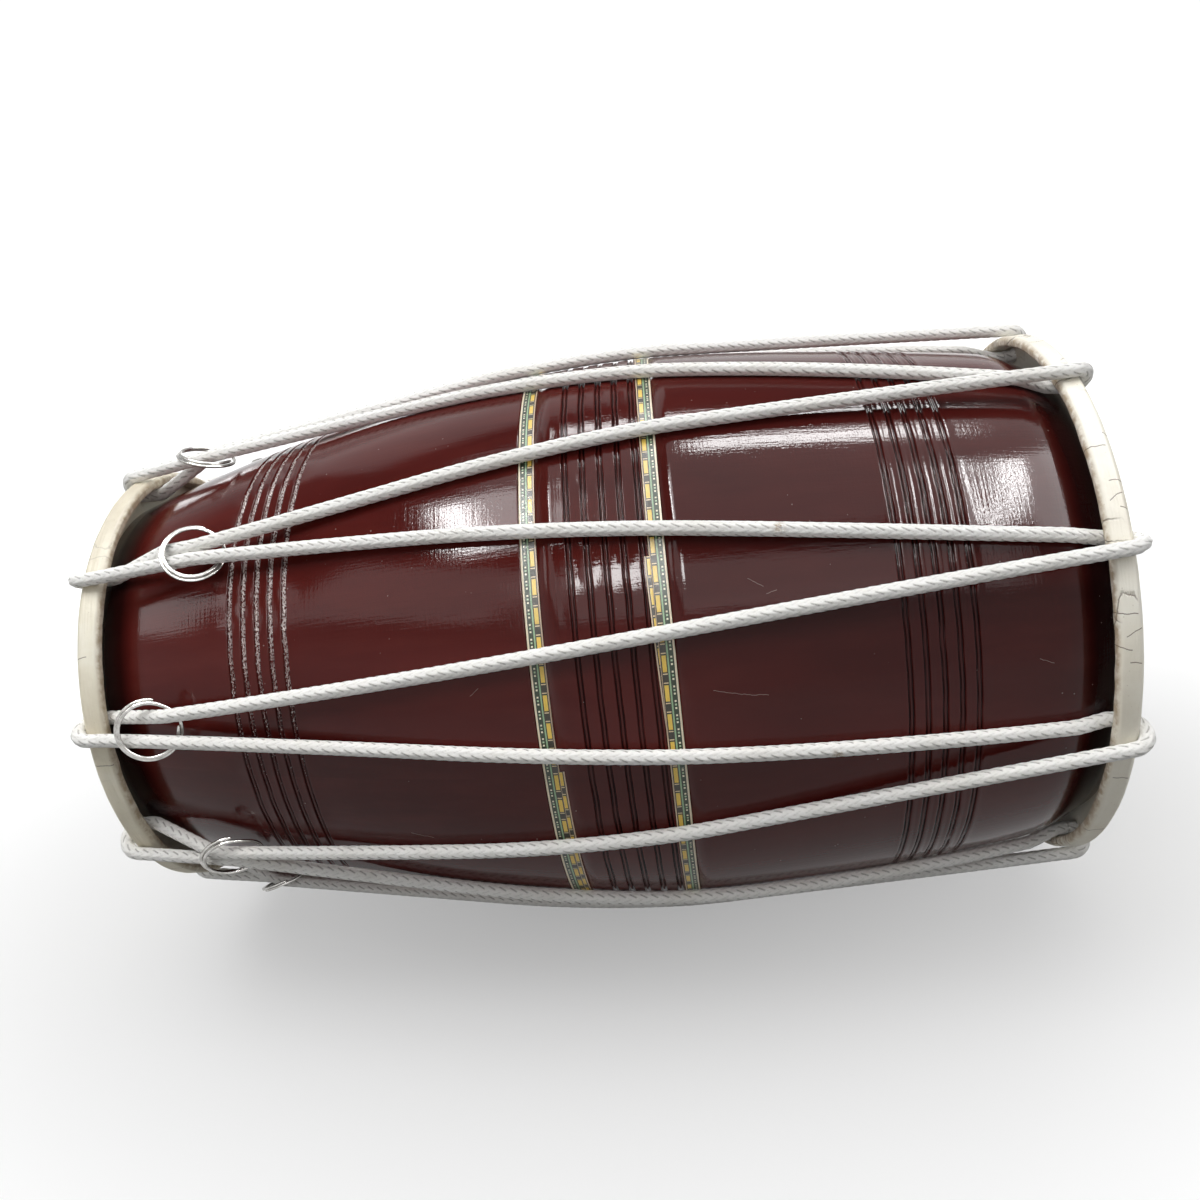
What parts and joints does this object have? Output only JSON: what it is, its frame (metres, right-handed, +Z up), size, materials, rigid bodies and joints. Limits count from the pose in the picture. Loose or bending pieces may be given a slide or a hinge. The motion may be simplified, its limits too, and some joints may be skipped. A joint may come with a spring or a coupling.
{
  "type": "dholak",
  "caption": "Two-headed wooden barrel drum lying on its side, its hide heads lapped over hoops and laced with rope that sliding rings tighten.",
  "frame": {"origin": "on the surface that the drum lies on, under the middle of its box", "axes": "+X along the drum from the treble head to the bass head, +Z up, the front of the picture faces -Y"},
  "size_m": [0.4696, 0.2922, 0.2887],
  "materials": {
    "lacquered_wood": "dark maroon gloss lacquer over turned wood",
    "ribbon_tape": "printed ribbon tape under lacquer",
    "goat_skin": "scraped goat skin, dry and off-white",
    "hoop_iron": "bare flat iron",
    "tuning_paste": "dull dark paste",
    "cotton_rope": "white braided cotton",
    "ring_steel": "bright plated spring steel"
  },
  "bodies": {
    "drum": {"shell": "lacquered_wood", "ribbon_treble_side": "ribbon_tape", "ribbon_bass_side": "ribbon_tape", "treble_skin": "goat_skin", "bass_skin": "goat_skin", "treble_hoop": "hoop_iron", "bass_hoop": "hoop_iron", "bass_tuning_paste": "tuning_paste", "rope_run_01": "cotton_rope", "rope_run_02": "cotton_rope", "rope_run_03": "cotton_rope", "rope_run_04": "cotton_rope", "rope_run_05": "cotton_rope", "rope_run_06": "cotton_rope", "rope_run_07": "cotton_rope", "rope_run_08": "cotton_rope", "rope_run_09": "cotton_rope", "rope_run_10": "cotton_rope", "rope_run_11": "cotton_rope", "rope_run_12": "cotton_rope", "rope_run_13": "cotton_rope", "rope_run_14": "cotton_rope", "rope_run_15": "cotton_rope", "rope_run_16": "cotton_rope", "rope_run_17": "cotton_rope", "rope_run_18": "cotton_rope"},
    "ring_1": {"tension_ring_1": "ring_steel"},
    "ring_2": {"tension_ring_2": "ring_steel"},
    "ring_3": {"tension_ring_3": "ring_steel"},
    "ring_4": {"tension_ring_4": "ring_steel"},
    "ring_5": {"tension_ring_5": "ring_steel"},
    "ring_6": {"tension_ring_6": "ring_steel"},
    "ring_7": {"tension_ring_7": "ring_steel"},
    "ring_8": {"tension_ring_8": "ring_steel"},
    "ring_9": {"tension_ring_9": "ring_steel"}
  },
  "joints": [
    {"name": "ring_1_slide", "type": "slide", "parent": "drum", "child": "ring_1", "axis": [0.99, -0.0054, 0.1408], "range_m": [-0.008, 0.024]},
    {"name": "ring_2_slide", "type": "slide", "parent": "drum", "child": "ring_2", "axis": [0.9901, -0.0866, 0.1108], "range_m": [-0.024, 0.008]},
    {"name": "ring_3_slide", "type": "slide", "parent": "drum", "child": "ring_3", "axis": [0.9901, -0.1361, 0.0352], "range_m": [0, 0.012]},
    {"name": "ring_4_slide", "type": "slide", "parent": "drum", "child": "ring_4", "axis": [0.9896, -0.1176, -0.0825], "range_m": [-0.019, 0.012]},
    {"name": "ring_5_slide", "type": "slide", "parent": "drum", "child": "ring_5", "axis": [0.9891, -0.0213, -0.1456], "range_m": [-0.014, 0.019]},
    {"name": "ring_6_slide", "type": "slide", "parent": "drum", "child": "ring_6", "axis": [0.9893, 0.0742, -0.1254], "range_m": [-0.024, 0.012]},
    {"name": "ring_7_slide", "type": "slide", "parent": "drum", "child": "ring_7", "axis": [0.9896, 0.1341, -0.0526], "range_m": [-0.01, 0.02]},
    {"name": "ring_8_slide", "type": "slide", "parent": "drum", "child": "ring_8", "axis": [0.9897, 0.1365, 0.0425], "range_m": [-0.017, 0.018]},
    {"name": "ring_9_slide", "type": "slide", "parent": "drum", "child": "ring_9", "axis": [0.9899, 0.0802, 0.1172], "range_m": [-0.012, 0.02]}
  ]
}
